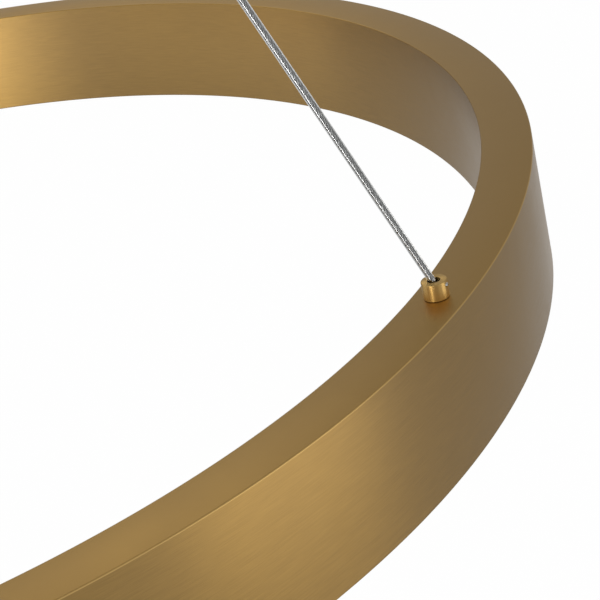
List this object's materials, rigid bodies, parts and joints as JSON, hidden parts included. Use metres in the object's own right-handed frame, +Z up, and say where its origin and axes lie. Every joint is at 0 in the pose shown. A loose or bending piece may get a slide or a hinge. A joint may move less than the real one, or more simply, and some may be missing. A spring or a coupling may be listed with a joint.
{
  "type": "ring pendant light",
  "caption": "Round brushed-brass LED ring lamp hung level on slanting clear-jacketed cables from a ceiling canopy whose grippers set its height.",
  "frame": {"origin": "centre of the canopy and its bracket, on the ceiling", "axes": "+Z up into the ceiling; the lamp hangs in -Z; +X along the bracket's strap"},
  "size_m": [0.6, 0.6, 0.5555],
  "materials": {
    "ring_brass": "brass-coloured aluminium, brushed along the ring",
    "canopy_brass": "brass-coloured spun steel, brushed round the axis",
    "hardware_brass": "turned and polished brass",
    "zinc_steel": "zinc-plated steel",
    "clear_cable": "twisted steel strands in a clear jacket",
    "opal_diffuser": "satin opal acrylic",
    "white_plastic": "moulded white plastic",
    "carrier_aluminium": "mill finish",
    "circuit_board": "green solder mask",
    "led_lens": "yellow phosphor",
    "solder": "bright solder",
    "ferrite": "dark ferrite",
    "capacitor_can": "sleeved can",
    "lead_jacket": "wire insulation",
    "earth_jacket": "green and yellow wire insulation",
    "foam_pad": "adhesive foam",
    "fibre": "red fibre"
  },
  "bodies": {
    "canopy": {"canopy_cup": "canopy_brass", "canopy_side_screws": "hardware_brass", "gripper_caps": "hardware_brass", "driver_output_terminals": "hardware_brass", "gripper_body_1": "hardware_brass", "gripper_body_2": "hardware_brass", "gripper_body_3": "hardware_brass", "ceiling_bracket": "zinc_steel", "gripper_locknuts": "zinc_steel", "driver_lid_screws": "zinc_steel", "terminal_screws": "zinc_steel", "earth_screw": "zinc_steel", "cable_end_sleeve": "zinc_steel", "gripper_spring_1": "zinc_steel", "gripper_spring_2": "zinc_steel", "gripper_spring_3": "zinc_steel", "cable_tails": "clear_cable", "cable_1": "clear_cable", "cable_2": "clear_cable", "cable_3": "clear_cable", "driver_case": "white_plastic", "driver_lid": "white_plastic", "terminal_block": "white_plastic", "driver_board": "circuit_board", "driver_transformer": "ferrite", "driver_capacitors": "capacitor_can", "mains_leads": "lead_jacket", "earth_lead": "earth_jacket", "mounting_pads": "foam_pad"},
    "ring": {"ring_profile": "ring_brass", "led_carrier": "carrier_aluminium", "led_strip": "circuit_board", "led_chips": "led_lens", "solder_pads": "solder", "diffuser": "opal_diffuser", "ferrule_washers": "fibre", "ferrule_nuts": "zinc_steel", "ferrule_grub_screws": "zinc_steel", "cable_stops": "zinc_steel", "ring_leads": "lead_jacket", "ferrule_1": "hardware_brass", "ferrule_2": "hardware_brass", "ferrule_3": "hardware_brass"},
    "release_1": {"plunger_1": "hardware_brass", "gripper_balls_1": "zinc_steel"},
    "release_2": {"plunger_2": "hardware_brass", "gripper_balls_2": "zinc_steel"},
    "release_3": {"plunger_3": "hardware_brass", "gripper_balls_3": "zinc_steel"}
  },
  "joints": [
    {"name": "ring_height", "type": "slide", "parent": "canopy", "child": "ring", "axis": [0, 0, 1], "range_m": [0, 0.2], "deforming": ["cable_1", "cable_2", "cable_3"]},
    {"name": "release_press_1", "type": "slide", "parent": "canopy", "child": "release_1", "axis": [0, 0, 1], "range_m": [0, 0.0025], "stiffness_N_per_m": 400, "springref_m": -0.004, "deforming": ["gripper_spring_1"]},
    {"name": "release_press_2", "type": "slide", "parent": "canopy", "child": "release_2", "axis": [0, 0, 1], "range_m": [0, 0.0025], "stiffness_N_per_m": 400, "springref_m": -0.004, "deforming": ["gripper_spring_2"]},
    {"name": "release_press_3", "type": "slide", "parent": "canopy", "child": "release_3", "axis": [0, 0, 1], "range_m": [0, 0.0025], "stiffness_N_per_m": 400, "springref_m": -0.004, "deforming": ["gripper_spring_3"]}
  ]
}
